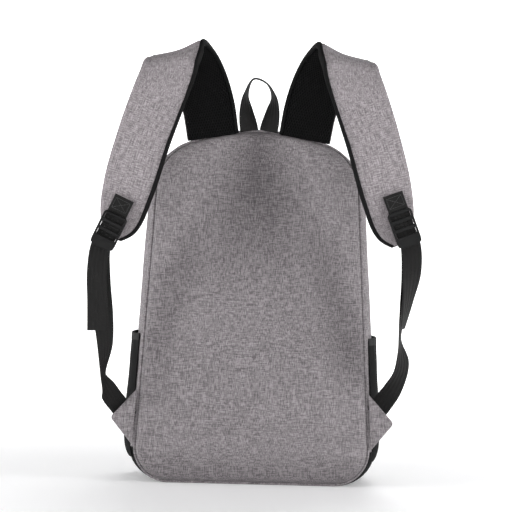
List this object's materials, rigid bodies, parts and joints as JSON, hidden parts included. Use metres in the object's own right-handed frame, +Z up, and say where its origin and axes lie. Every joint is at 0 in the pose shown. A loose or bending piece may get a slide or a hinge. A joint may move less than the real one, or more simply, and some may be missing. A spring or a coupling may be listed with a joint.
{
  "type": "solar backpack",
  "caption": "Soft daypack with a padded back panel, two padded shoulder straps on ladder-lock webbing, side pockets, a zipped opening front and a solar panel on it.",
  "frame": {"origin": "the middle of the bag's underside, on the surface it stands on", "axes": "+Z up; -Y is the padded back panel that rests on the wearer; +Y is the front with the solar panel; +X is the wearer's left"},
  "size_m": [0.4116, 0.2471, 0.5593],
  "materials": {
    "heather_cloth": "matt heathered grey polyester",
    "black_cloth": "matt black polyester",
    "air_mesh": "black spacer mesh",
    "webbing": "ribbed black webbing",
    "buckle_plastic": "satin moulded black plastic",
    "slider_metal": "dark nickel",
    "board": "milky plastic sheet",
    "laminate": "textured clear laminate on black",
    "cells": "dark blue silicon with fine silver lines",
    "cap_rubber": "soft black rubber"
  },
  "bodies": {
    "root": {"back_piping": "heather_cloth", "back_panel": "heather_cloth", "main_gusset": "heather_cloth", "front_panel": "heather_cloth", "front_pocket": "heather_cloth", "anchor_left": "heather_cloth", "anchor_right": "heather_cloth", "base_panel": "black_cloth", "side_pocket_left": "black_cloth", "side_pocket_right": "black_cloth", "pocket_hem_left": "black_cloth", "pocket_hem_right": "black_cloth", "zip_tape_body": "black_cloth", "pocket_zip_upper": "black_cloth", "pocket_zip_lower": "black_cloth", "laptop_sleeve": "black_cloth", "adjuster_webbing_left": "webbing", "adjuster_webbing_right": "webbing", "frame_sheet": "board"},
    "lid": {"lid_gusset": "heather_cloth", "lid_panel": "heather_cloth", "zip_tape_lid": "black_cloth", "solar_border": "black_cloth", "solar_panel": "laminate", "solar_cells": "cells", "junction_box": "buckle_plastic", "usb_socket": "slider_metal", "panel_lead": "buckle_plastic", "lead_grommet": "slider_metal"},
    "socket_cap": {"socket_cap": "cap_rubber"},
    "grab_handle": {"grab_handle": "webbing"},
    "pocket_slider": {"pocket_slider": "slider_metal"},
    "pocket_puller": {"pocket_puller": "slider_metal"},
    "zip_slider_left": {"zip_slider_left": "slider_metal"},
    "zip_puller_left": {"zip_puller_left": "slider_metal"},
    "strap_left": {"strap_left": "heather_cloth", "strap_mesh_left": "air_mesh", "strap_binding_left": "black_cloth", "strap_webbing_left": "webbing", "webbing_tail_left": "webbing"},
    "ladder_lock_left": {"ladder_lock_left": "buckle_plastic"},
    "zip_slider_right": {"zip_slider_right": "slider_metal"},
    "zip_puller_right": {"zip_puller_right": "slider_metal"},
    "strap_right": {"strap_right": "heather_cloth", "strap_mesh_right": "air_mesh", "strap_binding_right": "black_cloth", "strap_webbing_right": "webbing", "webbing_tail_right": "webbing"},
    "ladder_lock_right": {"ladder_lock_right": "buckle_plastic"}
  },
  "joints": [
    {"name": "lid_hinge", "type": "hinge", "parent": "root", "child": "lid", "pos_m": [0, 0.065, 0.15], "axis": [-1, 0, 0], "range_deg": [0, 80]},
    {"name": "zip_slider_left_run", "type": "hinge", "parent": "root", "child": "zip_slider_left", "pos_m": [0, 0.033, 0.2], "axis": [0, 1, 0], "range_deg": [-2, 17]},
    {"name": "zip_slider_right_run", "type": "hinge", "parent": "root", "child": "zip_slider_right", "pos_m": [0, 0.033, 0.2], "axis": [0, -1, 0], "range_deg": [-2, 17]},
    {"name": "zip_puller_left_flip", "type": "hinge", "parent": "zip_slider_left", "child": "zip_puller_left", "pos_m": [0.02225, 0.033, 0.44529], "axis": [0, -1, 0], "range_deg": [0, 95]},
    {"name": "zip_puller_right_flip", "type": "hinge", "parent": "zip_slider_right", "child": "zip_puller_right", "pos_m": [-0.02225, 0.033, 0.44529], "axis": [0, 1, 0], "range_deg": [0, 95]},
    {"name": "pocket_slider_run", "type": "slide", "parent": "root", "child": "pocket_slider", "axis": [1, 0, 0], "range_m": [0, 0.172]},
    {"name": "pocket_puller_flip", "type": "hinge", "parent": "pocket_slider", "child": "pocket_puller", "pos_m": [-0.086, 0.0896, 0.1072], "axis": [1, 0, 0], "range_deg": [0, 100]},
    {"name": "socket_cap_hinge", "type": "hinge", "parent": "lid", "child": "socket_cap", "pos_m": [0, 0.0439, 0.3585], "axis": [-1, 0, 0], "range_deg": [0, 120]},
    {"name": "grab_handle_fold", "type": "hinge", "parent": "root", "child": "grab_handle", "pos_m": [0, -0.069, 0.45], "axis": [1, 0, 0], "range_deg": [-60, 60], "stiffness_Nm_per_rad": 0.03},
    {"name": "strap_left_swing", "type": "hinge", "parent": "root", "child": "strap_left", "pos_m": [0.058, -0.069, 0.446], "axis": [-1, 0, 0], "range_deg": [-8, 15], "stiffness_Nm_per_rad": 2, "deforming": ["adjuster_webbing_left"]},
    {"name": "strap_right_swing", "type": "hinge", "parent": "root", "child": "strap_right", "pos_m": [-0.058, -0.069, 0.446], "axis": [-1, 0, 0], "range_deg": [-8, 15], "stiffness_Nm_per_rad": 2, "deforming": ["adjuster_webbing_right"]},
    {"name": "ladder_lock_left_tilt", "type": "hinge", "parent": "strap_left", "child": "ladder_lock_left", "pos_m": [0.174, -0.147, 0.3496], "axis": [-0.9336, 0, -0.3584], "range_deg": [0, 30], "deforming": ["adjuster_webbing_left"]},
    {"name": "ladder_lock_right_tilt", "type": "hinge", "parent": "strap_right", "child": "ladder_lock_right", "pos_m": [-0.1726, -0.147, 0.3375], "axis": [-0.9063, 0, 0.4226], "range_deg": [0, 30], "deforming": ["adjuster_webbing_right"]}
  ]
}
